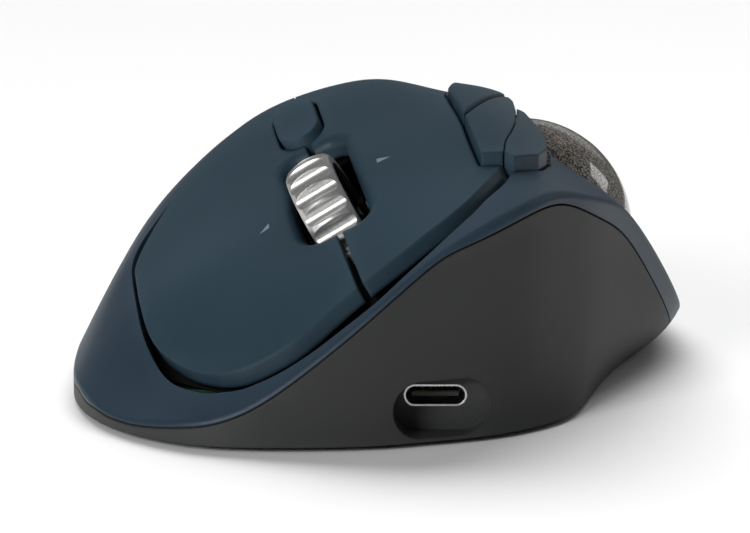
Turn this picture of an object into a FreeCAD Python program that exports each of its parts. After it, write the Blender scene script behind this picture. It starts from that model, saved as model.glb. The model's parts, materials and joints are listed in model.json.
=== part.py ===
import FreeCAD, Part
import math
import os

# Ergonomic wireless trackball mouse, built as separate named pieces.
# Frame: millimetres, +Z up. Everything is drawn round a point on the desk near the middle
# of the case and moved at the end, so that the origin is under the middle of the whole.
# The front (finger end, charging socket) faces -Y, the thumb side is +X.

Vec = FreeCAD.Vector
os.makedirs("parts", exist_ok=True)
doc = FreeCAD.newDocument("TrackballMouse")

# ---------------------------------------------------------------- dimensions
DIMENSIONS = (
    ("caseBottom", 0.8), ("shellWall", 2.0), ("seamHalfGap", 0.15), ("plateThickness", 1.8),
    ("plateProud", 0.35), ("frameTop", 3.4), ("frameBottom", 4.7), ("keyProud", 2.0),
    ("keySkirt", 1.2), ("keyGap", 0.45), ("footHeight", 1.3), ("footRadius", 4.5),
    ("ballRadius", 17.0), ("ballGap", 0.5), ("cupWall", 1.5), ("openingRadius", 17.9),
    ("bearingRadius", 1.25), ("wheelRadius", 11.2), ("wheelWidth", 7.3), ("rimInner", 8.6),
    ("axleRadius", 1.25), ("axleLength", 14.4), ("runningFit", 0.05), ("ridgeCount", 22),
    ("fluteRadius", 1.5), ("fluteOffset", 0.5), ("creaseRadius", 1.2), ("dpiProud", 1.45), ("keySplit", 0.2),
    ("boardBottom", 4.0), ("boardThickness", 1.6), ("portWidth", 8.94),
    ("portHeight", 3.16), ("portDepth", 7.3), ("portWall", 0.3), ("portMouth", -56.0),
    ("portCentreX", 8.5), ("portCentreZ", 6.2), ("batteryLength", 34.0), ("batteryWidth", 27.0),
    ("batteryHeight", 6.0), ("padHeight", 0.5), ("screwRadius", 1.0), ("screwHeadRadius", 2.0),
    ("switchLength", 12.8), ("plungerDepth", 3.1), ("switchWidth", 5.8), ("switchHeight", 6.5),
    ("slotWidth", 1.0), ("rearSlotWidth", 0.3), ("collarDepth", 2.6), ("wheelTilt", 31.0),
)
sheet = doc.addObject("Spreadsheet::Sheet", "Dims")
for row, (alias, value) in enumerate(DIMENSIONS, start=1):
    sheet.set("A%d" % row, alias)
    sheet.set("B%d" % row, str(value))
    sheet.setAlias("B%d" % row, alias)
doc.recompute()


def dim(alias):
    return float(sheet.get(alias))


# -------------------------------------------------------------- outer surface
# Heights of the upper surface over a 10 mm grid: one row per station along Y.
COLUMNS = (-50, -40, -30, -20, -10, 0, 10, 20, 30, 40, 50)
STATIONS = {
    -62: (-9, -2.3, 2.8, 7, 13, 19.8, 26, 29.3, 29.6, 27, 22),
    -50: (-6, 2.4, 8.4, 14.8, 20.5, 26, 30.6, 32.7, 32, 27.5, 19),
    -38: (-5, 8.2, 16.1, 21.7, 26.4, 31.5, 35, 35.2, 32, 24.8, 14),
    -26: (-4, 12.2, 20.2, 26.2, 31, 36.5, 39, 38, 33, 25, 12.5),
    -13: (-5, 14.9, 24.1, 30.3, 35.3, 40.4, 41.4, 40.2, 33, 23, 10.5),
    0: (-8, 15.2, 27.5, 35, 39.8, 43.2, 41.9, 39.6, 31, 19.8, 7),
    14: (-10, 13.9, 27.5, 35.8, 40.1, 41.8, 40.1, 36, 27.8, 16.5, 5),
    30: (-14, 8.5, 22, 30.6, 35.5, 37.6, 36.4, 31.5, 22.8, 12.5, 2),
    46: (-24, -4, 9.5, 19, 24.8, 27, 26, 21, 13, 4, -5),
    58: (-38, -18, -3, 7, 13, 15.2, 14, 9, 1, -8, -17),
    70: (-56, -35, -19, -8, -1.5, 0.8, -0.5, -5.5, -13, -22, -31),
}


def bend_terms(xs, zs):
    """Second derivatives of a natural cubic spline through (xs, zs)."""
    count = len(xs)
    step = [xs[i + 1] - xs[i] for i in range(count - 1)]
    upper = [0.0] * count
    right = [0.0] * count
    for i in range(1, count - 1):
        pivot = 2 * (step[i - 1] + step[i]) - step[i - 1] * upper[i - 1]
        upper[i] = step[i] / pivot
        slope_change = (zs[i + 1] - zs[i]) / step[i] - (zs[i] - zs[i - 1]) / step[i - 1]
        right[i] = (6 * slope_change - step[i - 1] * right[i - 1]) / pivot
    bends = [0.0] * count
    for i in range(count - 2, 0, -1):
        bends[i] = right[i] - upper[i] * bends[i + 1]
    return bends


def spline_value(xs, zs, bends, x):
    i = 0
    while i < len(xs) - 2 and x > xs[i + 1]:
        i += 1
    h = xs[i + 1] - xs[i]
    a = (xs[i + 1] - x) / h
    b = (x - xs[i]) / h
    curve = (a ** 3 - a) * bends[i] + (b ** 3 - b) * bends[i + 1]
    return a * zs[i] + b * zs[i + 1] + curve * h * h / 6


STATION_YS = sorted(STATIONS)
STATION_BENDS = {y: bend_terms(COLUMNS, STATIONS[y]) for y in STATION_YS}


def top_height(x, y):
    """Height of the upper surface over the point (x, y)."""
    column = [spline_value(COLUMNS, STATIONS[k], STATION_BENDS[k], x) for k in STATION_YS]
    return spline_value(STATION_YS, column, bend_terms(STATION_YS, column), y)


def top_point(x, y, inward=0.0):
    """Point of the upper surface moved inward along its normal."""
    h = 0.05
    slope_x = (top_height(x + h, y) - top_height(x - h, y)) / (2 * h)
    slope_y = (top_height(x, y + h) - top_height(x, y - h)) / (2 * h)
    normal = Vec(-slope_x, -slope_y, 1)
    normal.normalize()
    return Vec(x, y, top_height(x, y)) - normal * inward


def smooth_step(t):
    t = min(max(t, 0.0), 1.0)
    return t * t * (3 - 2 * t)


def seam_height(x, y, shift=0.0):
    """The seam between the two case halves runs just under the crease."""
    drop = 0.75 + 0.95 * smooth_step((x - 9) / 8) + 3.9 * smooth_step((x - 25) / 22)
    return Vec(x, y, max(top_height(x, y) - drop, 1.7) + shift)


def solid_below(point_at):
    """Everything under the sheet given by point_at(x, y)."""
    rows = [[point_at(x, y) for y in range(-70, 71, 5)] for x in range(-54, 55, 4)]
    surface = Part.BSplineSurface()
    surface.interpolate(rows)
    return surface.toShape().extrude(Vec(0, 0, -150))


below_cache = {}


def below_top(inward):
    if inward not in below_cache:
        below_cache[inward] = solid_below(lambda x, y: top_point(x, y, inward))
    return below_cache[inward]


# Outline of the case seen from above: points on the desk edge, each with its
# partner on the overhanging upper edge.
OUTLINE = (
    (-45.4, -22, -45.4, -22), (-44.1, -36.3, -44.1, -36.3), (-41.5, -45.3, -41.5, -45.3),
    (-37.6, -52.9, -37.6, -52.9), (-32.4, -58.9, -32.4, -58.7), (-25, -63.6, -25, -63.2),
    (-15.3, -65.2, -15.3, -64.6), (-6.9, -65, -6.9, -64), (0.7, -63.9, 0.7, -62.5),
    (7.8, -61.5, 7.8, -59.8), (16.1, -58, 15.5, -56), (22.6, -53, 21.5, -51),
    (27.6, -46.6, 26.5, -44), (30.6, -38.9, 30.9, -37), (32.8, -29.9, 34.6, -29.7),
    (35.4, -20.1, 38.8, -21), (39.6, -7.1, 45, -9.2), (43.4, 4, 50.2, 3), (45, 16, 51.5, 15),
    (44.2, 29, 49.2, 28), (39.5, 42, 41.5, 42.5), (30.5, 54, 31.2, 55), (16, 62.2, 16, 63),
    (0, 65, 0, 65), (-16, 62.5, -16, 62.5), (-29.5, 54.5, -29.5, 54.5), (-38.5, 42, -38.5, 42),
    (-43.5, 27, -43.5, 27), (-45.6, 11, -45.6, 11), (-46, -6, -46, -6),
)


def outline_wire(z, inset):
    rise = 1 - math.exp(-max(z - 0.8, 0) / 4.2)
    points = [Vec(a + (c - a) * rise, b + (d - b) * rise, z) for a, b, c, d in OUTLINE]
    moved = []
    for i, point in enumerate(points):
        along = points[(i + 1) % len(points)] - points[i - 1]
        along.normalize()
        moved.append(point + Vec(-along.y, along.x, 0) * inset)
    curve = Part.BSplineCurve()
    curve.interpolate(Points=moved, PeriodicFlag=True)
    return Part.Wire([curve.toShape()])


def side_wall(bottom, inset):
    """Solid column bounded by the case outline, open upward past the top."""
    levels = [bottom] + [z for z in (3, 5.5, 8.5, 12.5, 18, 26, 36, 50) if z > bottom + 0.5]
    return Part.makeLoft([outline_wire(z, inset) for z in levels], True, False, False)


def middle_of(edge):
    return edge.valueAt((edge.FirstParameter + edge.LastParameter) / 2.0)


def largest(shape):
    return max(shape.Solids, key=lambda s: s.Volume)


# ------------------------------------------------------------ wheel directions
TILT = math.radians(dim("wheelTilt"))
ACROSS = Vec(math.cos(TILT), 0, math.sin(TILT))
OUTWARD = Vec(-math.sin(TILT), 0, math.cos(TILT))
WHEEL_TURN = FreeCAD.Rotation(Vec(0, 1, 0), -dim("wheelTilt"))


def tilted(p, q, h=0.0):
    """Point from coordinates along the wheel axle, along Y and outward."""
    return ACROSS * p + Vec(0, q, 0) + OUTWARD * h


WHEEL_P = 9.1
SLOT_P = 9.5
WHEEL_Q = -29.0
WHEEL_CENTRE = tilted(WHEEL_P, WHEEL_Q, 24.7)
WHEEL_PLACE = FreeCAD.Placement(WHEEL_CENTRE, WHEEL_TURN)


def tilted_prism(points, low=-30.0, high=70.0, smooth=True):
    """Prism standing on the tilted plane of the buttons."""
    corners = [tilted(p, q, low) for p, q in points]
    if smooth:
        curve = Part.BSplineCurve()
        curve.interpolate(Points=corners, PeriodicFlag=True)
        wire = Part.Wire([curve.toShape()])
    else:
        wire = Part.makePolygon(corners + corners[:1])
    return Part.Face(wire).extrude(OUTWARD * (high - low))


def rounded_tilted_prism(p0, p1, q0, q1, radius, low=-30.0, high=70.0):
    block = Part.makeBox(p1 - p0, q1 - q0, high - low)
    upright = [e for e in block.Edges if abs(e.BoundBox.ZLength - (high - low)) < 1e-6]
    block = block.makeFillet(radius, upright)
    block.Placement = FreeCAD.Placement(tilted(p0, q0, low), WHEEL_TURN)
    return block


def tilted_box(x0, x1, y0, y1, z0, z1):
    """Box given in the wheel's own axes, measured from the wheel centre."""
    block = Part.makeBox(x1 - x0, y1 - y0, z1 - z0)
    corner = WHEEL_PLACE.multVec(Vec(x0, y0, z0))
    block.Placement = FreeCAD.Placement(corner, WHEEL_TURN)
    return block


def box(x0, x1, y0, y1, z0, z1):
    return Part.makeBox(x1 - x0, y1 - y0, z1 - z0, Vec(x0, y0, z0))


def soften(shape, radius, edges):
    """Fillet the edges when the kernel can, otherwise leave them sharp."""
    for size in (radius, radius * 0.6):
        try:
            result = shape.makeFillet(size, edges)
        except Exception:
            continue
        if result.isValid() and result.Solids and 0.8 < result.Volume / shape.Volume < 1.2:
            return result
    return shape


# ------------------------------------------------------------------ publishing
finished = []


def publish(label, shape):
    """Make one named piece from a shape built in place."""
    feature = doc.addObject("Part::Feature", label)
    feature.Label = label
    feature.Shape = shape
    feature.Placement = shape.Placement
    finished.append(feature)
    return feature


def publish_object(feature, label):
    feature.Label = label
    finished.append(feature)
    return feature


def origin_plane(body, role):
    return [o for o in body.Origin.OriginFeatures if o.Role == role][0]


def new_sketch(body, plane, offset=0.0):
    sketch = body.newObject("Sketcher::SketchObject", body.Name + "Sketch")
    sketch.AttachmentSupport = (origin_plane(body, plane), [""])
    sketch.MapMode = "FlatFace"
    sketch.AttachmentOffset = FreeCAD.Placement(Vec(0, 0, offset), FreeCAD.Rotation())
    return sketch


def draw_polygon(sketch, points):
    corners = [Vec(x, y, 0) for x, y in points]
    for start, end in zip(corners, corners[1:] + corners[:1]):
        sketch.addGeometry(Part.LineSegment(start, end))


def padded_body(label, length_alias, place, draw, offset=0.0):
    """Body made of one sketch on its XY plane and one pad."""
    body = doc.addObject("PartDesign::Body", label + "Body")
    sketch = new_sketch(body, "XY_Plane", offset)
    draw(sketch)
    pad = body.newObject("PartDesign::Pad", body.Name + "Pad")
    pad.Profile = sketch
    pad.setExpression("Length", "<<Dims>>." + length_alias)
    sketch.Visibility = False
    body.Placement = place
    doc.recompute()
    return publish_object(body, label)


# --------------------------------------------------------------------- shells
# Lip of the opening round the finger buttons, in tilted coordinates.
RIM_EDGE = (
    (-22.9, -20.8), (-22.8, -28), (-22.7, -36), (-22.8, -42), (-22.5, -46.5), (-21.8, -50.5),
    (-20.6, -53.8), (-18.6, -56.8), (-16.5, -59), (-14.7, -60), (-11.9, -61.2), (-8.9, -61.8),
    (-5.8, -62.2), (-2.4, -62.3), (1.0, -62.2), (4.4, -61.8), (11.3, -60.8), (15, -59.5),
    (20.3, -57.2), (23.9, -54.8), (27.4, -51.8), (30.9, -47.2), (32.7, -44.5), (34.7, -39.5),
    (35.4, -36), (34.7, -28), (33.6, -16), (32.6, -4), (30.5, 5), (24, 10.2), (14, 12), (4, 10),
    (-4.4, 5.5), (-11.5, -0.5), (-17.6, -6.6), (-20.6, -10.5), (-22.3, -15),
)
# Outer edge of the pair of finger buttons, in the same coordinates.
PLATE_EDGE = (
    (-22.1, -22.8), (-22, -30.8), (-21.9, -38.8), (-21.8, -42.8), (-21, -46.5), (-19.8, -49.2),
    (-18.4, -52), (-16.3, -54.8), (-13.7, -57.2), (-10.9, -58.5), (-7.9, -59), (-4.6, -59.2),
    (-1.2, -59), (2.4, -58.2), (5.8, -57.3), (10.4, -56.2), (16.4, -54.7), (21, -52.9),
    (24.8, -50.8), (28.4, -47.5), (32, -42), (33.9, -38), (34.6, -35), (33.9, -28), (33.1, -16),
    (32.1, -4), (30.2, 4.6), (23.8, 9.7), (14, 11.5), (4.2, 9.5), (-4.1, 5.1), (-11.1, -0.9),
    (-16.3, -8), (-18.8, -12.5), (-21.2, -18),
)


def grown(outline, extra):
    """Closed outline moved outward by the given distance."""
    points = []
    for i, (p, q) in enumerate(outline):
        before = outline[i - 1]
        after = outline[(i + 1) % len(outline)]
        along = Vec(after[0] - before[0], after[1] - before[1], 0)
        along.normalize()
        points.append((p + along.y * extra, q - along.x * extra))
    return points


# Thumb keys seen from above.
KEY_CLUSTER = (
    (15.4, -37.3), (14.2, -30), (13.3, -23), (12.0, -14), (11.2, -6), (12.0, 2), (14.2, 7.4),
    (17.0, 7.6), (18.7, 3), (19.7, -4), (21.3, -11), (23.6, -18), (25.6, -24.5), (25.4, -30),
    (24.0, -34), (20.2, -37.5), (18.7, -36.3),
)
BACK_KEY = (
    (13.3, -23), (12.0, -14), (11.2, -6), (12.0, 2), (14.2, 7.4), (17.0, 7.6), (18.7, 3), (19.7, -4),
    (20.2, -6.5),
)
FORWARD_KEY = (
    (15.4, -37.3), (14.2, -30), (13.3, -23), (20.2, -6.5), (21.2, -10.6), (21.4, -17.8), (21.0, -23.2),
    (20.1, -28), (19.1, -32), (18.7, -36.3),
)
THUMB_KEY = (
    (18.7, -36.3), (19.1, -32), (20.1, -28), (21.0, -23.2), (21.4, -17.8), (21.2, -10.6), (23.6, -18),
    (25.6, -24.5), (25.4, -30), (24.0, -34), (20.2, -37.5),
)


def upright_prism(points, grow, low=20.0, high=60.0):
    corners = [Vec(x, y, low) for x, y in points]
    face = Part.Face(Part.makePolygon(corners + corners[:1]))
    if grow:
        face = face.makeOffset2D(grow, 0, False, False, False)
        face = face if face.Faces else Part.Face(face.Wires[0])
    return face.extrude(Vec(0, 0, high - low))


BALL_CENTRE = Vec(22.5, -12.2, 22.5)
CASE_SCREWS = ((-34.0, 3.0), (-27.5, 35.0), (28.0, 36.0), (22.5, -43.0))
BOARD_SCREWS = ((-26.0, -42.0), (-26.0, 10.0), (7.0, 10.0))
FEET = ((-37.0, -36.0), (15.5, -47.0), (36.0, 10.0), (-36.0, 26.0), (18.0, 52.0))
POWER_AT = Vec(-14.0, -2.0, 0)
PAIRING_AT = Vec(-2.0, -2.0, 0)
RECEIVER = (-9.8, 9.7, 44.2, 58.7, 0.8, 7.3)


def ball_sphere(radius):
    return Part.makeSphere(radius, BALL_CENTRE)


def stadium(width, height, depth, centre_x, y0, centre_z):
    """Slot-shaped column running along +Y from y0."""
    end = height / 2.0
    half = width / 2.0 - end
    left = Part.makeCylinder(end, depth, Vec(centre_x - half, y0, centre_z), Vec(0, 1, 0))
    right = Part.makeCylinder(end, depth, Vec(centre_x + half, y0, centre_z), Vec(0, 1, 0))
    middle = box(centre_x - half, centre_x + half, y0, y0 + depth, centre_z - end, centre_z + end)
    return left.fuse(right).fuse(middle).removeSplitter()


def build_case():
    wall = dim("shellWall")
    bottom = dim("caseBottom")
    outer = largest(side_wall(bottom, 0).common(below_top(0)))
    crease = [e for e in outer.Edges if e.Length > 200 and e.valueAt(e.FirstParameter).z > 3]
    outer = outer.makeFillet(dim("creaseRadius"), crease)
    inner_column = side_wall(bottom + wall, wall)
    inner = largest(inner_column.common(below_top(wall)))
    gap = dim("seamHalfGap")
    lower = outer.common(solid_below(lambda x, y: seam_height(x, y, -gap))).cut(inner_column)
    taken = solid_below(lambda x, y: seam_height(x, y, gap)).cut(inner_column)
    upper = outer.cut(inner).cut(taken)
    return outer, inner, largest(lower), largest(upper)


outer_body, inner_body, lower_shell, upper_shell = build_case()


def screw_post(x, y, radius, z0, z1):
    return Part.makeCylinder(radius, z1 - z0, Vec(x, y, z0))


def build_lower_case():
    shape = lower_shell
    bottom = dim("caseBottom")
    floor = bottom + dim("shellWall")
    board = dim("boardBottom")
    # socket recess with its own surround
    cx = dim("portCentreX")
    cz = dim("portCentreZ")
    mouth = dim("portMouth")
    surround = stadium(16.6, 10.8, 9.0, cx + 0.8, mouth - 7.8, cz - 1.0)
    shape = shape.fuse(surround.common(outer_body))
    for x, y in CASE_SCREWS:
        shape = shape.fuse(screw_post(x, y, 3.2, floor - 0.5, 11.0))
    for x, y in BOARD_SCREWS:
        shape = shape.fuse(screw_post(x, y, 2.2, floor - 0.5, board))
    x0, x1, y0, y1, z0, z1 = RECEIVER
    tray = box(x0 - 1, x1 + 1, y0 - 1, y1 + 1, z0 + 0.6, z1 + 0.9)
    shape = shape.fuse(tray.common(outer_body).cut(upper_shell))
    # cuts
    shape = shape.cut(stadium(13.6, 7.8, 12.0, cx + 0.8, mouth - 12.0, cz - 1.0))
    shape = shape.cut(stadium(dim("portWidth") + 0.1, dim("portHeight") + 0.1, 4.0, cx, mouth - 1, cz))
    for x, y in CASE_SCREWS:
        shape = shape.cut(screw_post(x, y, dim("screwHeadRadius") + 0.25, 0, 2.9))
        shape = shape.cut(screw_post(x, y, dim("screwRadius") + dim("runningFit"), 2, 12))
    for x, y in BOARD_SCREWS:
        shape = shape.cut(screw_post(x, y, 0.85, floor - 0.6, board + 1))
    for x, y in FEET:
        shape = shape.cut(screw_post(x, y, dim("footRadius") + 0.15, 0, dim("footHeight")))
    shape = shape.cut(box(x0 - 0.15, x1 + 0.15, y0 - 0.15, y1 + 0.15, 0, z1 + 0.15))
    px, py = POWER_AT.x, POWER_AT.y
    shape = shape.cut(box(px - 3.7, px + 3.7, py - 1.8, py + 1.8, 0, floor + 0.5))
    shape = shape.cut(screw_post(PAIRING_AT.x, PAIRING_AT.y, 2.65, 0, floor + 0.5))
    shape = shape.cut(ball_sphere(dim("openingRadius")))
    return largest(shape)


def key_opening(extra):
    return upright_prism(KEY_CLUSTER, extra)


def build_top_shell():
    shape = upper_shell.cut(tilted_prism(RIM_EDGE))
    shape = shape.cut(key_opening(dim("keyGap")))
    shape = shape.cut(ball_sphere(dim("openingRadius")))
    shape = largest(shape)
    for x, y in CASE_SCREWS:
        post = screw_post(x, y, 2.8, 11.1, 45).common(inner_body)
        post = post.cut(ball_sphere(dim("openingRadius") + 2))
        shape = shape.fuse(post)
        shape = shape.cut(screw_post(x, y, 0.95 + dim("runningFit") * 2, 10, 17))
    return largest(shape)


publish("lower_case", build_lower_case())
publish("top_shell", build_top_shell())


# -------------------------------------------------------------- finger buttons
# Openings in tilted coordinates: least and greatest along the axle, then along Y.
DPI = (5.8, 12.5, -12.3, 1.4)
WELL = (4.1, 14.6, -41.0, -15.0)
COLLAR = (1.9, 16.2, -42.5, -13.6)
SLOT_TRIM = (SLOT_P - 2.2, SLOT_P + 2.2, -57.0, -43.0)


def in_collar(point):
    p = point.dot(ACROSS)
    return COLLAR[0] < p < COLLAR[1] and COLLAR[2] < point.y < COLLAR[3]


def build_plates():
    proud = dim("plateProud")
    collar = rounded_tilted_prism(*COLLAR, 3.0)
    underside = below_top(dim("plateThickness")).cut(collar).fuse(below_top(dim("collarDepth")))
    plate = below_top(-proud).common(tilted_prism(PLATE_EDGE)).cut(underside)
    plate = largest(plate.cut(key_opening(dim("keyGap"))))
    plate = plate.cut(rounded_tilted_prism(*WELL, 3.0))
    brink = [e for e in upper_edges(plate, -proud) if in_collar(middle_of(e))]
    plate = soften(plate, 1.9, brink)
    p0, p1, q0, q1 = DPI
    plate = plate.cut(rounded_tilted_prism(p0 - 0.5, p1 + 0.5, q0 - 0.5, q1 + 0.5, 3.7))
    half = dim("slotWidth") / 2.0
    plate = plate.cut(rounded_tilted_prism(SLOT_P - half, SLOT_P + half, -70, -5, 0.2))
    half = dim("rearSlotWidth") / 2.0
    plate = plate.cut(rounded_tilted_prism(SLOT_P - half, SLOT_P + half, -5.2, 20, 0.05))
    pieces = sorted(plate.Solids, key=lambda s: s.CenterOfMass.x)
    pieces = [s for s in pieces if s.Volume > 500]
    return pieces[0], pieces[-1]


def upper_edges(solid, inward):
    """Edges lying on the sheet that bounds the piece from above."""
    chosen = []
    for edge in solid.Edges:
        middle = middle_of(edge)
        expected = top_point(middle.x, middle.y, inward).z
        if abs(middle.z - expected) < 0.12 and edge.Length > 0.3:
            chosen.append(edge)
    return chosen


def build_buttons():
    secondary, primary = build_plates()
    proud = dim("plateProud")
    secondary = soften(secondary, 0.6, upper_edges(secondary, -proud))
    primary = soften(primary, 0.6, upper_edges(primary, -proud))
    publish("primary_button", primary)
    publish("secondary_button", secondary)


build_buttons()


def build_dpi():
    p0, p1, q0, q1 = DPI
    proud = dim("dpiProud")
    solid = below_top(-proud).cut(below_top(dim("plateThickness")))
    key = largest(solid.common(rounded_tilted_prism(p0, p1, q0, q1, 3.3)))
    key = soften(key, 0.6, upper_edges(key, -proud))
    publish("dpi_button", key)
    p, q = (p0 + p1) / 2.0, (q0 + q1) / 2.0
    dome = rounded_tilted_prism(p - 2, p + 2, q - 2, q + 2, 0.6)
    publish("dpi_switch", largest(dome.common(below_top(2.5).cut(below_top(dim("frameTop"))))))


build_dpi()


def build_keys():
    half_gap = -dim("keySplit") / 2.0
    solid = below_top(-dim("keyProud")).cut(below_top(dim("keySkirt")))
    room = ball_sphere(dim("openingRadius") + 0.6)
    keys = (("back_button", BACK_KEY), ("forward_button", FORWARD_KEY), ("thumb_button", THUMB_KEY))
    for label, outline in keys:
        key = largest(solid.common(upright_prism(outline, half_gap)).cut(room))
        key = soften(key, 0.7, upper_edges(key, -dim("keyProud")))
        publish(label, key)
    board = below_top(2.9).cut(below_top(3.8)).common(key_opening(1.2))
    board = largest(board.cut(ball_sphere(dim("openingRadius") + 1.8)).common(inner_body))
    publish("side_board", board)
    layer = below_top(1.95).cut(below_top(2.9))
    domes = []
    for x, y in ((15.2, -1.0), (16.6, -30.0), (21.6, -32.0)):
        dome = box(x - 1.8, x + 1.8, y - 1.8, y + 1.8, 20, 50)
        domes.append(largest(layer.common(dome)))
    publish("side_switches", Part.makeCompound(domes))


build_keys()


SWITCH_SPOTS = {"primary_switch": (23.0, -46.0), "secondary_switch": (-5.5, -42.0)}


def surface_height(p, q):
    """Outward coordinate of the upper surface at tilted coordinates (p, q)."""
    h = 25.0
    for _ in range(30):
        point = tilted(p, q, h)
        h += 0.8 * (top_height(point.x, point.y) - point.z)
    return h


def switch_prism(p, q, low, high):
    half_width = dim("switchWidth") / 2.0
    half_length = dim("switchLength") / 2.0
    return rounded_tilted_prism(p - half_width, p + half_width, q - half_length, q + half_length,
                                0.4, low, high)


def switch_top(p, q):
    """Level of a switch's top, set by the lower end of its footprint."""
    reach = dim("switchLength") / 2.0
    lowest = min(surface_height(p, q - reach), surface_height(p, q + reach))
    return lowest - dim("frameBottom")


def plunger_prism(p, q, low, high, margin=0.0):
    return rounded_tilted_prism(p - 0.7 - margin, p + 0.7 + margin, q - 1.4 - margin,
                                q + 1.4 + margin, 0.2, low, high)


def build_frame():
    top = dim("frameTop")
    low = dim("frameBottom")
    slab = below_top(2.05).cut(below_top(low)).common(tilted_prism(grown(RIM_EDGE, 1.8)))
    slab = slab.cut(below_top(2.0).cut(below_top(top)).common(tilted_prism(grown(RIM_EDGE, 0.1))))
    for p, q in SWITCH_SPOTS.values():
        slab = slab.fuse(switch_prism(p, q, switch_top(p, q), 70).common(below_top(top + 0.1)))
    slab = slab.common(side_wall(2.0, dim("shellWall") + 0.2))
    slab = slab.cut(box(-60, 60, -80, 80, -10, 6.2))
    slab = slab.cut(rounded_tilted_prism(SLOT_P - 8.4, SLOT_P + 10.6, WHEEL_Q - 14, WHEEL_Q + 16, 2.0))
    slab = slab.cut(rounded_tilted_prism(*SLOT_TRIM, 0.4))
    slab = slab.cut(key_opening(1.7))
    slab = slab.cut(ball_sphere(dim("openingRadius") + 2.2))
    for x, y in CASE_SCREWS:
        slab = slab.cut(screw_post(x, y, 3.3, 0, 50))
    for p, q in SWITCH_SPOTS.values():
        slab = slab.cut(plunger_prism(p, q, -30, 70, 0.4))
        slab = slab.cut(switch_prism(p, q, -30, switch_top(p, q)))
    return largest(slab)


def build_switch(label):
    """Snap-action switch hanging under the frame, plunger through its hole."""
    p, q = SWITCH_SPOTS[label]
    top = switch_top(p, q)
    body = switch_prism(p, q, top - dim("switchHeight"), top)
    reach = surface_height(p, q - 1.4) - dim("plungerDepth")
    publish(label, largest(body.fuse(plunger_prism(p, q, top - 0.5, reach))))


def build_slot_trim():
    """Dark strip in the slot between the buttons, carrying two light guides."""
    strip = rounded_tilted_prism(*SLOT_TRIM, 0.4)
    strip = largest(strip.common(below_top(3.05).cut(below_top(dim("frameBottom")))))
    lights = []
    for q in (-43.7, -44.9):
        guide = rounded_tilted_prism(SLOT_P - 0.3, SLOT_P + 0.3, q - 0.3, q + 0.3, 0.1)
        guide = largest(guide.common(below_top(1.6).cut(below_top(dim("frameBottom")))))
        lights.append(guide)
        strip = strip.cut(guide)
    publish("slot_trim", largest(strip))
    publish("indicator_lights", Part.makeCompound(lights))


publish("button_frame", build_frame())
for switch_label in SWITCH_SPOTS:
    build_switch(switch_label)
build_slot_trim()


# ----------------------------------------------------------------- scroll wheel
def build_wheel():
    radius = dim("wheelRadius")
    half = dim("wheelWidth") / 2.0
    inner = dim("rimInner")
    # crowned rim turned about the axle
    shoulder = Vec(-half + 0.7, 0, radius - 0.6)
    crown = Part.Arc(shoulder, Vec(0, 0, radius), Vec(-shoulder.x, 0, shoulder.z))
    edge = radius - 1.25
    corners = [Vec(-shoulder.x, 0, shoulder.z), Vec(half, 0, edge), Vec(half, 0, inner),
               Vec(-half, 0, inner), Vec(-half, 0, edge), shoulder]
    sides = [Part.makeLine(a, b) for a, b in zip(corners, corners[1:])]
    rim = Part.Face(Part.Wire([crown.toShape()] + sides)).revolve(Vec(0, 0, 0), Vec(1, 0, 0), 360)
    count = int(dim("ridgeCount"))
    flutes = []
    for i in range(count):
        angle = 2 * math.pi * i / count
        ray = Vec(0, math.sin(angle), math.cos(angle))
        flute_start = ray * (radius + dim("fluteOffset")) - Vec(half + 1, 0, 0)
        flutes.append(Part.makeCylinder(dim("fluteRadius"), 2 * half + 2, flute_start, Vec(1, 0, 0)))
    rim = rim.cut(flutes).removeSplitter()
    rim.Placement = WHEEL_PLACE
    publish("scroll_wheel", largest(rim))
    hub = doc.addObject("PartDesign::Body", "HubBody")
    sketch = new_sketch(hub, "XZ_Plane")
    bore = dim("axleRadius") + dim("runningFit")
    outline = ((bore, -3.3), (4.0, -3.3), (4.0, -1.2), (6.8, -1.2), (6.8, -3.0), (inner, -3.0),
               (inner, 3.0), (6.8, 3.0), (6.8, 1.2), (4.0, 1.2), (4.0, 3.3), (bore, 3.3))
    draw_polygon(sketch, outline)
    turn = hub.newObject("PartDesign::Revolution", "HubTurn")
    turn.Profile = sketch
    turn.ReferenceAxis = (sketch, ["V_Axis"])
    turn.Angle = 360
    upright = FreeCAD.Rotation(Vec(0, 1, 0), 90)
    hub.Placement = FreeCAD.Placement(WHEEL_CENTRE, WHEEL_TURN.multiply(upright))
    doc.recompute()
    publish_object(hub, "wheel_hub")


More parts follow.
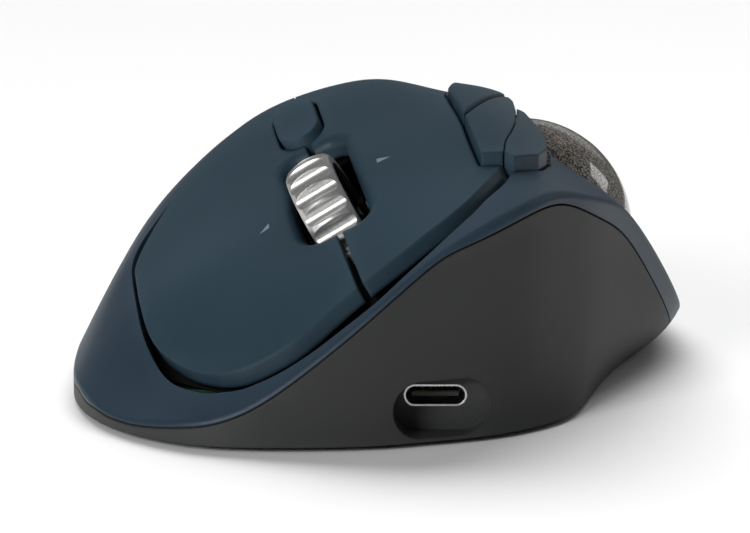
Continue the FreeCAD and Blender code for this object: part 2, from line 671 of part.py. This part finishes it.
def build_wheel_carrier():
    axle = doc.addObject("Part::Cylinder", "Axle")
    axle.setExpression("Radius", "<<Dims>>.axleRadius")
    axle.setExpression("Height", "<<Dims>>.axleLength")
    upright = FreeCAD.Rotation(Vec(0, 1, 0), 90)
    start = WHEEL_PLACE.multVec(Vec(-5.4, 0, 0))
    axle.Placement = FreeCAD.Placement(start, WHEEL_TURN.multiply(upright))
    doc.recompute()
    publish_object(axle, "wheel_axle")
    arms = tilted_box(3.85, 4.8, -3, 3, -14, 1.9).fuse(tilted_box(-4.8, -3.85, -3, 3, -14, 1.9))
    cradle = arms.fuse(tilted_box(-4.8, 4.8, -3, 3, -14, -12.3))
    cradle = cradle.fuse(tilted_box(4.6, 9.5, -3, 3, -8, -6.5))
    lug = tilted_box(-1.6, 1.6, -3, 3, -16.6, -13.8)
    cradle = cradle.fuse(lug).cut(axle.Shape)
    pin_axis = Vec(0, 1, 0)
    cradle_bore = Part.makeCylinder(1.05, 20, WHEEL_PLACE.multVec(Vec(0, -10, -15.4)), pin_axis)
    publish("wheel_cradle", largest(cradle.cut(cradle_bore).removeSplitter()))
    pin = Part.makeCylinder(1.0, 11.6, WHEEL_PLACE.multVec(Vec(0, -5.8, -15.4)), pin_axis)
    publish("tilt_pin", pin)
    yoke = tilted_box(-7.2, 7.2, -7.6, 7.6, -18.6, -17.2)
    for y0, y1 in ((-5.8, -3.4), (3.4, 5.8)):
        yoke = yoke.fuse(tilted_box(-2.2, 2.2, y0, y1, -17.4, -13.8))
    yoke = yoke.cut(pin).cut(ball_sphere(dim("ballRadius") + 2.9))
    publish("wheel_yoke", largest(yoke.removeSplitter()))
    left = tilted_box(-6.8, -4.0, -2.5, 2.5, -17.2, -14.6)
    right = tilted_box(4.0, 6.8, -2.5, 2.5, -17.2, -14.6)
    publish("tilt_switches", Part.makeCompound([left, right]))
    coder = tilted_box(7.2, 9.5, -3.2, 3.2, -6.5, 0.3).cut(axle.Shape)
    publish("wheel_encoder", largest(coder))


def build_wheel_support():
    floor = dim("boardBottom") + dim("boardThickness")
    base = tilted_box(-9.5, 9.5, -9.6, 9.6, -40, -22.0)
    for y0, y1 in ((-9.6, -7.8), (7.8, 9.6)):
        base = base.fuse(tilted_box(-9.5, 9.5, y0, y1, -40, -16.6))
    base = base.common(box(-20, 9.5, -60, 20, floor, 40))
    switch = tilted_box(-3.2, 3.2, -3.2, 3.2, -22.0, -20.0)
    stem = Part.makeCylinder(1.4, 1.0, WHEEL_PLACE.multVec(Vec(0, 0, -20.2)), OUTWARD)
    base = base.cut(ball_sphere(19.4))
    publish("wheel_support", largest(base))
    switch = switch.fuse(stem).cut(box(-20, 20, -60, 0, 0, floor))
    publish("wheel_click_switch", largest(switch))


build_wheel()
build_wheel_carrier()
build_wheel_support()


# -------------------------------------------------------------------- trackball
OPENING_AXIS = Vec(0.66, 0.05, 0.75)
OPENING_AXIS.normalize()


def bearing_directions():
    down = OPENING_AXIS * -1
    side = Vec(0, 0, -1) - down * Vec(0, 0, -1).dot(down)
    side.normalize()
    other = down.cross(side)
    spread = math.radians(55)
    directions = []
    for turn in (60, 180, 300):
        angle = math.radians(turn)
        around = side * math.cos(angle) + other * math.sin(angle)
        directions.append(down * math.cos(spread) + around * math.sin(spread))
    return directions


SENSOR_AXIS = Vec(-0.94, 0, -0.342)
SENSOR_AXIS.normalize()
SENSOR_TURN = FreeCAD.Rotation(Vec(0, 0, 1), SENSOR_AXIS)


def along_sensor(width, length, near, far, radius=0.5):
    """Rounded plate square to the sensor axis, between two distances."""
    plate = Part.makeBox(width, length, far - near, Vec(-width / 2.0, -length / 2.0, near))
    upright = [e for e in plate.Edges if abs(e.BoundBox.ZLength - (far - near)) < 1e-6]
    plate = plate.makeFillet(radius, upright)
    plate.Placement = FreeCAD.Placement(BALL_CENTRE, SENSOR_TURN)
    return plate


def build_ball():
    ball = doc.addObject("Part::Sphere", "Ball")
    ball.setExpression("Radius", "<<Dims>>.ballRadius")
    ball.Placement = FreeCAD.Placement(BALL_CENTRE, FreeCAD.Rotation())
    doc.recompute()
    publish_object(ball, "trackball")


def build_cup():
    inside = dim("ballRadius") + dim("ballGap")
    outside = inside + dim("cupWall")
    bearing = dim("bearingRadius")
    seat_radius = dim("ballRadius") + bearing + 0.02
    cup = ball_sphere(outside)
    cup = cup.fuse(screw_post(BALL_CENTRE.x, BALL_CENTRE.y, 4.0, 2.8, 6.0))
    beads = []
    for direction in bearing_directions():
        cup = cup.fuse(Part.makeCylinder(2.4, 3.4, BALL_CENTRE + direction * 17.0, direction))
        beads.append(Part.makeSphere(bearing, BALL_CENTRE + direction * seat_radius))
    cup = cup.cut(ball_sphere(inside))
    for direction in bearing_directions():
        pocket_depth = seat_radius + bearing + 0.02 - 16.5
        pocket_start = BALL_CENTRE + direction * 16.5
        cup = cup.cut(Part.makeCylinder(bearing + 0.02, pocket_depth, pocket_start, direction))
    window = Part.makeCylinder(3.9, 10, BALL_CENTRE + SENSOR_AXIS * 14, SENSOR_AXIS)
    cup = cup.cut(window)
    keep = Part.makeCylinder(30, 40, BALL_CENTRE + OPENING_AXIS * 8.5, OPENING_AXIS * -1)
    trimmed = side_wall(2.4, dim("shellWall") + 0.3).common(below_top(dim("shellWall") + 0.2))
    trimmed = trimmed.cut(box(-60, 60, -80, 80, -5, 2.8))
    cup = cup.common(keep).common(trimmed)
    publish("ball_cup", largest(cup))
    publish("bearing_balls", Part.makeCompound(beads))


def build_sensor():
    lens = Part.makeCylinder(3.6, 1.6, BALL_CENTRE + SENSOR_AXIS * 19.1, SENSOR_AXIS)
    dome = Part.makeSphere(4.5, BALL_CENTRE + SENSOR_AXIS * 22.6)
    lens = lens.fuse(dome.common(Part.makeCylinder(2.4, 2.0, BALL_CENTRE + SENSOR_AXIS * 17.9, SENSOR_AXIS)))
    publish("sensor_lens", largest(lens))
    publish("sensor_chip", along_sensor(9, 9.5, 20.75, 22.9))
    publish("sensor_board", along_sensor(13, 12, 22.95, 24.15, 1.0))


build_ball()
build_cup()
build_sensor()


# -------------------------------------------------------------- electronics
BOARD_OUTLINE = (
    (-27.5, -49.5), (-10.0, -54.0), (3.7, -54.0), (3.7, -48.5), (13.3, -48.5), (13.3, -54.0),
    (16.5, -53.0), (17.0, -46.0), (17.0, -33.0), (10.0, -33.0), (10.0, 14.0), (-30.0, 14.0),
    (-30.0, -44.0),
)


def build_main_board():
    def draw(sketch):
        draw_polygon(sketch, BOARD_OUTLINE)
        for x, y in BOARD_SCREWS:
            sketch.addGeometry(Part.Circle(Vec(x, y, 0), Vec(0, 0, 1), 1.0))
    place = FreeCAD.Placement(Vec(0, 0, dim("boardBottom")), FreeCAD.Rotation())
    padded_body("main_board", "boardThickness", place, draw)


def build_port():
    cx = dim("portCentreX")
    cz = dim("portCentreZ")
    mouth = dim("portMouth")
    width = dim("portWidth")
    height = dim("portHeight")
    wall = dim("portWall")
    depth = dim("portDepth")
    tube = stadium(width, height, depth, cx, mouth, cz)
    inside = stadium(width - 2 * wall, height - 2 * wall, depth, cx, mouth - wall, cz)
    publish("usb_c_shell", largest(tube.cut(inside)))
    core = stadium(width - 2 * wall, height - 2 * wall, 1.4, cx, mouth + depth - wall - 1.4, cz)
    tongue = box(cx - 3.35, cx + 3.35, mouth + 1.0, mouth + depth - 1.5, cz - 0.35, cz + 0.35)
    publish("usb_c_tongue", largest(core.fuse(tongue)))
    strips = []
    for i in range(12):
        x = cx - 2.75 + 0.5 * i
        for z in (cz + 0.35, cz - 0.40):
            strips.append(box(x - 0.12, x + 0.12, mouth + 1.2, mouth + 4.4, z, z + 0.05))
    publish("usb_c_contacts", Part.makeCompound(strips))


def build_battery():
    floor = dim("caseBottom") + dim("shellWall")
    half = dim("batteryLength") / 2.0
    depth = dim("batteryWidth")
    centre = Vec(-4.0, 28.2, 0)

    def pad_shape(sketch):
        draw_polygon(sketch, ((-12, -9), (12, -9), (12, 9), (-12, 9)))
    pad_place = FreeCAD.Placement(centre + Vec(0, 0, floor), FreeCAD.Rotation())
    padded_body("battery_pad", "padHeight", pad_place, pad_shape)

    def cell_shape(sketch):
        corners = ((-half, -depth / 2), (half, -depth / 2), (half, depth / 2), (-half, depth / 2))
        draw_polygon(sketch, corners)
    body = doc.addObject("PartDesign::Body", "CellBody")
    sketch = new_sketch(body, "XY_Plane")
    cell_shape(sketch)
    pad = body.newObject("PartDesign::Pad", "CellPad")
    pad.Profile = sketch
    pad.setExpression("Length", "<<Dims>>.batteryHeight")
    doc.recompute()
    names = ["Edge%d" % (i + 1) for i, e in enumerate(pad.Shape.Edges) if e.Length > 10]
    rounding = body.newObject("PartDesign::Fillet", "CellRounding")
    rounding.Base = (pad, names)
    rounding.Radius = 1.6
    body.Placement = FreeCAD.Placement(centre + Vec(0, 0, floor + dim("padHeight")), FreeCAD.Rotation())
    doc.recompute()
    publish_object(body, "battery_cell")


def build_battery_lead():
    """Two wires from the cell to the socket on the main board."""
    top = dim("boardBottom") + dim("boardThickness")
    wires = []
    back = Vec(0, -1, 0)
    for x in (-14.8, -13.2):
        path = Part.BSplineCurve()
        path.interpolate(Points=[Vec(x, 14.68, 6.4), Vec(x, 12.6, 7.3), Vec(x, 10.52, 7.0)],
                         InitialTangent=back, FinalTangent=back)
        ring = Part.Wire([Part.makeCircle(0.5, path.value(path.FirstParameter), back)])
        wires.append(Part.Wire([path.toShape()]).makePipeShell([ring], True, True))
    publish("battery_lead", Part.makeCompound(wires))
    publish("battery_socket", box(-16.5, -11.5, 6.0, 10.5, top, top + 3.0))


def build_chips():
    top = dim("boardBottom") + dim("boardThickness")
    publish("radio_chip", box(-20, -14, -24, -18, top, top + 0.9))
    bits = []
    for x, y in ((-22, -30), (-22, -34), (-18, -34), (-24, -14), (-20, -10), (-24, -6), (-8, 8), (-3, 8)):
        bits.append(box(x - 0.8, x + 0.8, y - 0.4, y + 0.4, top, top + 0.8))
    publish("capacitors", Part.makeCompound(bits))


def screw_shape(x, y, z, head_radius, head_height, shank_radius, shank_length, upward):
    """Pan-head screw: head first, shank pointing up or down from z."""
    direction = Vec(0, 0, 1 if upward else -1)
    head = Part.makeCylinder(head_radius, head_height, Vec(x, y, z), direction)
    shank = Part.makeCylinder(shank_radius, shank_length, Vec(x, y, z), direction)
    screw = head.fuse(shank)
    for turn in (0, 90):
        bar = Part.makeBox(head_radius * 1.3, 0.5, 0.7, Vec(-head_radius * 0.65, -0.25, -0.01))
        bar.Placement = FreeCAD.Placement(Vec(x, y, z), FreeCAD.Rotation(Vec(0, 0, 1), turn)).multiply(
            FreeCAD.Placement(Vec(0, 0, 0 if upward else -0.68), FreeCAD.Rotation()))
        screw = screw.cut(bar)
    return largest(screw)


def build_screws():
    case_set = [screw_shape(x, y, 1.2, dim("screwHeadRadius"), 1.7, dim("screwRadius"), 12.5, True)
                for x, y in CASE_SCREWS]
    publish("case_screws", Part.makeCompound(case_set))
    top = dim("boardBottom") + dim("boardThickness")
    board_set = [screw_shape(x, y, top + 1.2, 1.7, 1.2, 0.8, 4.2, False) for x, y in BOARD_SCREWS]
    publish("board_screws", Part.makeCompound(board_set))


def build_underside():
    feet = []
    for x, y in FEET:
        foot = doc.addObject("Part::Cylinder", "Foot")
        foot.setExpression("Radius", "<<Dims>>.footRadius")
        foot.setExpression("Height", "<<Dims>>.footHeight")
        foot.Placement = FreeCAD.Placement(Vec(x, y, 0), FreeCAD.Rotation())
        feet.append(foot)
    doc.recompute()
    group = doc.addObject("Part::Compound", "FeetGroup")
    group.Links = feet
    doc.recompute()
    publish_object(group, "feet")
    px, py = POWER_AT.x, POWER_AT.y
    board = dim("boardBottom")
    publish("power_switch", box(px - 5, px + 5, py - 2.6, py + 2.6, 3.1, board))
    knob = box(px - 3.4, px + 0.4, py - 1.6, py + 1.6, 1.15, 3.0)
    for i in range(3):
        x = px - 2.6 + i * 0.9
        knob = knob.cut(box(x - 0.2, x + 0.2, py - 1.7, py + 1.7, 1.0, 1.4))
    publish("power_knob", largest(knob))
    pairing = Part.makeCylinder(2.55, 2.2, Vec(PAIRING_AT.x, PAIRING_AT.y, 1.1))
    rim = [e for e in pairing.Edges if abs(e.BoundBox.ZMax - 1.1) < 0.01 and e.Length > 10]
    pairing = soften(pairing, 0.3, rim)
    publish("pairing_button", pairing)
    x, y = PAIRING_AT.x, PAIRING_AT.y
    publish("pairing_switch", box(x - 1.5, x + 1.5, y - 1.5, y + 1.5, 3.72, board))
    x0, x1, y0, y1, z0, z1 = RECEIVER
    middle = (z0 + z1) / 2.0
    plug = box(x0 + 6.5, x1, y0 + 1.2, y1 - 1.2, middle - 2.25, middle + 2.25)
    hollow = box(x0 + 8.0, x1 + 1, y0 + 1.5, y1 - 1.5, middle - 1.95, middle + 1.95)
    publish("receiver_plug", largest(plug.cut(hollow)))
    tongue = box(x0 + 8.0, x1 - 0.6, y0 + 1.7, y1 - 1.7, middle + 0.1, middle + 1.9)
    cap = box(x0, x0 + 6.4, y0, y1, z0 + 0.3, z1)
    upright = [e for e in cap.Edges if e.Length > 5.9]
    cap = soften(cap, 0.8, upright)
    publish("receiver_cap", cap)
    publish("receiver_insert", tongue)


build_main_board()
build_port()
build_battery()
build_battery_lead()
build_chips()
build_screws()
build_underside()

def move_to_middle():
    """Put the origin under the middle of the whole mouse."""
    spread = FreeCAD.BoundBox()
    for piece in finished[:2]:
        for point in piece.Shape.tessellate(0.1)[0]:
            spread.add(point)
    shift = Vec(-spread.Center.x, -spread.Center.y, 0)
    print("moved by", shift)
    for piece in finished:
        piece.Placement = FreeCAD.Placement(shift, FreeCAD.Rotation()).multiply(piece.Placement)


move_to_middle()

# --------------------------------------------------------------------- output
doc.recompute()
for obj in doc.Objects:
    if "Invalid" in obj.State or "Error" in obj.State:
        raise RuntimeError("object failed: %s %s" % (obj.Name, obj.State))
for piece in finished:
    shape = piece.Shape
    if shape.isNull() or not shape.isValid() or not shape.Solids:
        raise RuntimeError("bad shape: " + piece.Label)
    shape.exportStep("parts/" + piece.Label + ".step")
    bounds = shape.BoundBox
    print("%-20s solids %2d  x %.1f..%.1f y %.1f..%.1f z %.1f..%.1f vol %.0f" % (
        piece.Label, len(shape.Solids), bounds.XMin, bounds.XMax, bounds.YMin, bounds.YMax,
        bounds.ZMin, bounds.ZMax, shape.Volume))
print("pieces", len(finished))
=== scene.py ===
import json
import math

import bmesh
import bpy
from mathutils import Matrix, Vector
from mathutils.bvhtree import BVHTree


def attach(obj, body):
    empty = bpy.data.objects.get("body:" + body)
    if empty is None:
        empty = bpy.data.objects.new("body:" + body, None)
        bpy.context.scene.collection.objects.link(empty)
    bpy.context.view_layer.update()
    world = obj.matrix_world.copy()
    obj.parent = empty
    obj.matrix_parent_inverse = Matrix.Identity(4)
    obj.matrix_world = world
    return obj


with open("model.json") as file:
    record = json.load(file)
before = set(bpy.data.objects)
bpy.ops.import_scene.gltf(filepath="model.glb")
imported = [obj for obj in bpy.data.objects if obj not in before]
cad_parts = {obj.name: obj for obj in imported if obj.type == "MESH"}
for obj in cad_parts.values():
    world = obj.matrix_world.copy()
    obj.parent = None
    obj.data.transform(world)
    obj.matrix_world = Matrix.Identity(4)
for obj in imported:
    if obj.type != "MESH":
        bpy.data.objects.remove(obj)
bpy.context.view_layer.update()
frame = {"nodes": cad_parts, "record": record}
nodes = frame["nodes"]
# The drawing point of the CAD model, as it lies in the finished frame.
DRAWN_FROM = Vector((-0.001588, 0.000114, 0))


# ---------------------------------------------------------------- materials
def paint(red, green, blue):
    """A screen colour from 0 to 255 as linear RGBA."""
    def linear(value):
        share = value / 255
        return share / 12.92 if share <= 0.04045 else ((share + 0.055) / 1.055) ** 2.4
    return (linear(red), linear(green), linear(blue), 1.0)


class Graph:
    """One material's node tree, with short calls that add and join nodes."""

    def __init__(self, name, **finish):
        self.material = bpy.data.materials.new(name)
        self.material.use_nodes = True
        self.tree = self.material.node_tree
        self.shader = self.tree.nodes["Principled BSDF"]
        self.place = self.node("ShaderNodeTexCoord").outputs["Object"]
        for socket, value in finish.items():
            self.set(socket.replace("_", " "), value)

    def node(self, kind, inputs=(), **settings):
        made = self.tree.nodes.new(kind)
        for key, value in settings.items():
            setattr(made, key, value)
        for key, value in dict(inputs).items():
            self.feed(made.inputs[key], value)
        return made

    def feed(self, socket, value):
        if isinstance(value, bpy.types.NodeSocket):
            self.tree.links.new(value, socket)
        else:
            socket.default_value = value

    def set(self, socket, value):
        self.feed(self.shader.inputs[socket], value)

    def noise(self, scale, detail=2.0):
        inputs = {"Vector": self.place, "Scale": scale, "Detail": detail}
        return self.node("ShaderNodeTexNoise", inputs).outputs["Fac"]

    def ramp(self, factor, *stops):
        made = self.node("ShaderNodeValToRGB", {"Fac": factor})
        elements = made.color_ramp.elements
        while len(elements) < len(stops):
            elements.new(0.5)
        for element, (position, colour) in zip(elements, stops):
            element.position = position
            element.color = colour
        return made.outputs["Color"]

    def math(self, operation, first, second=0.0):
        made = self.node("ShaderNodeMath", operation=operation)
        self.feed(made.inputs[0], first)
        self.feed(made.inputs[1], second)
        return made.outputs["Value"]

    def span(self, factor, low, high):
        """A 0 to 1 factor as a value from low to high."""
        inputs = {"Value": factor, "To Min": low, "To Max": high}
        return self.node("ShaderNodeMapRange", inputs).outputs["Result"]

    def mix(self, factor, first, second, blend="MIX"):
        made = self.node("ShaderNodeMix", data_type="RGBA", blend_type=blend)
        self.feed(made.inputs[0], factor)
        self.feed(made.inputs[6], first)
        self.feed(made.inputs[7], second)
        return made.outputs[2]

    def bump(self, height, distance, normal=None, strength=1.0):
        inputs = {"Height": height, "Distance": distance, "Strength": strength}
        if normal is not None:
            inputs["Normal"] = normal
        return self.node("ShaderNodeBump", inputs).outputs["Normal"]

    def rounded(self, radius):
        """The surface's normal with its edges rounded off."""
        return self.node("ShaderNodeBevel", {"Radius": radius}, samples=4).outputs["Normal"]


def grey(level):
    return (level, level, level, 1.0)


def moulded(name, dark, light, roughness=0.5, grain=0.00035, depth=0.000012, edge=0.0003, edge_highlight=0.12,
            **finish):
    """Moulded or soft-touch plastic: fine erosion grain, faint mottling, and a painted highlight that makes
    convex edges paler.
    """
    g = Graph(name, **finish)
    mottle = g.noise(28, 3)
    body = g.ramp(mottle, (0.3, dark), (0.7, light))
    # Painted highlight: convex edges, found by pointiness, are mixed toward a paler colour.
    pointed = g.node("ShaderNodeNewGeometry").outputs["Pointiness"]
    highlight_mask = g.ramp(pointed, (0.52, grey(0)), (0.58, grey(1)))
    highlight_colour = tuple(min(1.0, c * 1.9 + 0.01) for c in light[:3]) + (1.0,)
    g.set("Base Color", g.mix(g.math("MULTIPLY", highlight_mask, edge_highlight), body, highlight_colour))
    fine = g.noise(1 / grain, 2)
    unevenness = g.math("ADD", g.math("MULTIPLY", mottle, 0.6), g.math("MULTIPLY", fine, 0.4))
    g.set("Roughness", g.span(unevenness, roughness - 0.05, roughness + 0.07))
    normal = g.rounded(edge) if edge else None
    g.set("Normal", g.bump(fine, depth, normal))
    return g.material


def metal(name, dark, light, roughness=0.3, grain=0.0002, depth=0.00001, metallic=1.0, edge=0.0002):
    """Cast or turned metal: fine even grain, with its edges slightly rounded."""
    g = Graph(name, Metallic=metallic)
    fine = g.noise(1 / grain, 3)
    g.set("Base Color", g.ramp(fine, (0.35, dark), (0.65, light)))
    g.set("Roughness", g.span(g.noise(400, 2), roughness - 0.08, roughness + 0.1))
    g.set("Normal", g.bump(fine, depth, g.rounded(edge)))
    return g.material


def circuit_board(name):
    """Solder mask over copper traces."""
    g = Graph(name, **{"Coat_Weight": 0.4, "Coat_Roughness": 0.2})
    trace = g.node("ShaderNodeTexVoronoi", {"Vector": g.place, "Scale": 420.0},
                   distance="MANHATTAN").outputs["Distance"]
    line = g.ramp(g.math("PINGPONG", trace, 0.18), (0.42, grey(0)), (0.5, grey(1)))
    mask = g.ramp(g.noise(60, 2), (0.3, paint(10, 52, 34)), (0.7, paint(14, 66, 42)))
    g.set("Base Color", g.mix(g.math("MULTIPLY", line, 0.5), mask, paint(46, 110, 66)))
    g.set("Roughness", g.span(g.noise(900, 2), 0.3, 0.45))
    g.set("Normal", g.bump(line, 0.00003, g.rounded(0.0001)))
    return g.material


def sparkle_ball(name):
    """Dark resin packed with fine metallic flakes under a clear gloss coat."""
    g = Graph(name, **{"Coat_Weight": 1.0, "Coat_Roughness": 0.03, "Coat_IOR": 1.7})
    flakes = g.node("ShaderNodeTexVoronoi", {"Vector": g.place, "Scale": 6200.0, "Randomness": 1.0})
    tint = g.node("ShaderNodeSeparateColor", {"Color": flakes.outputs["Color"]})
    lit = g.ramp(tint.outputs["Red"], (0.35, grey(0)), (0.95, grey(1)))
    warm = g.mix(tint.outputs["Green"], paint(188, 172, 148), paint(158, 160, 162))
    g.set("Base Color", g.mix(lit, paint(22, 20, 19), warm))
    g.set("Metallic", 0.35)
    g.set("Roughness", g.span(tint.outputs["Blue"], 0.3, 0.55))
    g.set("Normal", g.bump(tint.outputs["Blue"], 0.00006))
    return g.material


BLUE_DARK, BLUE_LIGHT = paint(37, 51, 63), paint(41, 56, 68)
KEY_DARK, KEY_LIGHT = paint(37, 54, 65), paint(42, 60, 71)
GREY_DARK, GREY_LIGHT = paint(47, 48, 48), paint(52, 53, 52)

soft_touch = {"Specular_IOR_Level": 0.2}
finishes = {
    "blue_shell": moulded("blue_shell", BLUE_DARK, BLUE_LIGHT, 0.42, **soft_touch),
    "blue_keys": moulded("blue_keys", KEY_DARK, KEY_LIGHT, 0.4, edge=0.0007, **soft_touch),
    "grey_case": moulded("grey_case", GREY_DARK, GREY_LIGHT, 0.55, grain=0.00045, depth=0.00002,
                         **soft_touch),
    # The frame's black is darker than the switch and chip blacks: partly its own black plastic, partly
    # painted shade for the gaps and the well it shows through.
    "black_frame": moulded("black_frame", paint(5, 5, 6), paint(9, 9, 10), 0.55, Specular_IOR_Level=0.2),
    "switch_black": moulded("switch_black", paint(18, 18, 19), paint(26, 26, 27), 0.42),
    "circuit_board": circuit_board("circuit_board"),
    "light_guide": moulded("light_guide", paint(150, 158, 160), paint(176, 182, 184), 0.3),
    "wheel_metal": metal("wheel_metal", paint(166, 166, 166), paint(198, 197, 195), 0.3, metallic=0.75,
                         grain=0.00016, depth=0.000005),
    "steel": metal("steel", paint(186, 187, 189), paint(212, 213, 214), 0.2, depth=0.000003),
    "ball_gloss": sparkle_ball("ball_gloss"),
    "bearing_ceramic": moulded("bearing_ceramic", paint(226, 222, 210), paint(238, 235, 226), 0.18,
                               depth=0.000002, edge_highlight=0),
    "clear_lens": moulded("clear_lens", paint(196, 202, 204), paint(214, 220, 222), 0.12, depth=0.000002),
    "chip_black": moulded("chip_black", paint(20, 20, 21), paint(28, 28, 29), 0.5, grain=0.0002),
    "gold_contact": metal("gold_contact", paint(196, 156, 84), paint(224, 188, 112), 0.22, depth=0.000003),
    "foam_pad": moulded("foam_pad", paint(30, 30, 31), paint(44, 44, 45), 0.85, grain=0.0005, depth=0.00008),
    "battery_wrap": moulded("battery_wrap", paint(176, 180, 184), paint(196, 199, 202), 0.3, grain=0.0008),
    "wire_red": moulded("wire_red", paint(140, 22, 20), paint(164, 30, 26), 0.35),
    "white_plastic": moulded("white_plastic", paint(206, 206, 202), paint(220, 220, 216), 0.45),
    "foot_rubber": moulded("foot_rubber", paint(30, 31, 32), paint(40, 41, 42), 0.3, grain=0.0006),
}


slot_of = {part["node"]: part["material_slot"] for part in frame["record"]["subparts"]}
for name, node in nodes.items():
    node.data.materials.clear()
    node.data.materials.append(finishes[slot_of[name]])


# ------------------------------------------------------------------- prints
TILT = math.radians(31)
ACROSS = Vector((math.cos(TILT), 0, math.sin(TILT)))
FORWARD = Vector((0, 1, 0))
OUTWARD = Vector((-math.sin(TILT), 0, math.cos(TILT)))
ABOVE_THE_SHELL = 60


def wheel_point(across, along, height):
    """A point in the wheel's leaning frame, given in millimetres."""
    return DRAWN_FROM + (ACROSS * across + FORWARD * along + OUTWARD * height) / 1000


def surface_of(node):
    return BVHTree.FromObject(node, bpy.context.evaluated_depsgraph_get())


def printed_patch(name, node, corners, lift=0.00003, steps=8):
    """A thin ink triangle laid on a node's surface."""
    tree = surface_of(node)
    bm = bmesh.new()
    a, b, c = (Vector(corner) for corner in corners)
    rows = []
    for i in range(steps + 1):
        row = []
        for j in range(steps + 1 - i):
            flat = a + (b - a) * (i / steps) + (c - a) * (j / steps)
            start = wheel_point(flat.x, flat.y, ABOVE_THE_SHELL)
            hit = tree.ray_cast(start, -OUTWARD)[0]
            row.append(bm.verts.new(hit + OUTWARD * lift))
        rows.append(row)
    for i in range(steps):
        for j in range(steps - i):
            bm.faces.new((rows[i][j], rows[i + 1][j], rows[i][j + 1]))
            if j < steps - i - 1:
                bm.faces.new((rows[i + 1][j], rows[i + 1][j + 1], rows[i][j + 1]))
    mesh = bpy.data.meshes.new(name)
    bm.to_mesh(mesh)
    bm.free()
    made = bpy.data.objects.new(name, mesh)
    bpy.context.scene.collection.objects.link(made)
    mesh.shade_smooth()
    return made


# Tilt arrows beside the wheel: corners across and along the wheel's frame, in millimetres.
ink = moulded("pad_ink", paint(100, 116, 126), paint(112, 128, 138), 0.5, edge_highlight=0, edge=0)
TILT_ARROWS = (
    ("print_primary", "primary_button", "finger_primary",
     ((20.7, -30.1), (18.6, -29.2), (18.5, -30.4))),
    ("print_secondary", "secondary_button", "finger_secondary",
     ((-1.5, -33.9), (0.3, -32.05), (0.15, -33.4))),
)
for name, node, body, corners in TILT_ARROWS:
    mark = printed_patch(name, nodes[node], [(across, along, 0) for across, along in corners])
    mark.data.materials.append(ink)
    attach(mark, body)


# -------------------------------------------------------------------- stage
FLOOR_HALF_WIDTH = 1.6
CAMERA_PLACE = Vector((0, -0.4676, 0.1009))
CAMERA_PITCH = 10.5
CAMERA_LENS = 144
AMBIENT = 0.12


def stage_floor():
    bm = bmesh.new()
    bmesh.ops.create_grid(bm, x_segments=8, y_segments=8, size=FLOOR_HALF_WIDTH)
    mesh = bpy.data.meshes.new("studio_floor")
    bm.to_mesh(mesh)
    bm.free()
    floor = bpy.data.objects.new("studio_floor", mesh)
    bpy.context.scene.collection.objects.link(floor)
    g = Graph("studio_floor", Roughness=0.9, Specular_IOR_Level=0.0)
    g.set("Base Color", g.ramp(g.noise(6, 2), (0.2, grey(0.85)), (0.8, grey(0.87))))
    mesh.materials.append(g.material)


def area_light(name, place, target, size, power, tall=None):
    data = bpy.data.lights.new(name, "AREA")
    data.shape = "RECTANGLE"
    data.size = size
    data.size_y = tall or size
    data.energy = power
    light = bpy.data.objects.new(name, data)
    light.location = place
    aim = Vector(target) - Vector(place)
    light.rotation_euler = aim.to_track_quat("-Z", "Y").to_euler()
    bpy.context.scene.collection.objects.link(light)


def overhead_light(from_behind, from_left, spread, strength):
    """Wide soft light from above, leaning in from behind the object and from its left."""
    data = bpy.data.lights.new("overhead", "SUN")
    data.angle = math.radians(spread)
    data.energy = strength
    light = bpy.data.objects.new("overhead", data)
    light.rotation_euler = (math.radians(-from_behind), math.radians(-from_left), 0)
    light.visible_glossy = False
    bpy.context.scene.collection.objects.link(light)


def studio():
    scene = bpy.context.scene
    world = bpy.data.worlds.new("studio")
    world.use_nodes = True
    background = world.node_tree.nodes["Background"]
    background.inputs["Color"].default_value = grey(1)
    background.inputs["Strength"].default_value = AMBIENT
    scene.world = world
    scene.view_settings.view_transform = "Standard"
    overhead_light(54, 3, 60, 4.9)
    area_light("softbox_front", (-0.45, -0.66, 0.32), (-0.02, -0.03, 0.02), 0.3, 4.6)
    area_light("softbox_side", (0.56, 0.27, 0.32), (0.02, -0.01, 0.02), 0.19, 0.22)
    area_light("softbox_behind", (0.35, 0.95, 0.4), (0.0, 0.0, 0.03), 0.5, 0.15, 0.3)
    camera_data = bpy.data.cameras.new("camera")
    camera_data.sensor_width = 36
    camera_data.lens = CAMERA_LENS
    camera_data.clip_start = 0.01
    camera = bpy.data.objects.new("camera", camera_data)
    camera.location = DRAWN_FROM + CAMERA_PLACE
    camera.rotation_euler = (math.radians(90 - CAMERA_PITCH), 0, 0)
    scene.collection.objects.link(camera)
    scene.camera = camera


stage_floor()
studio()
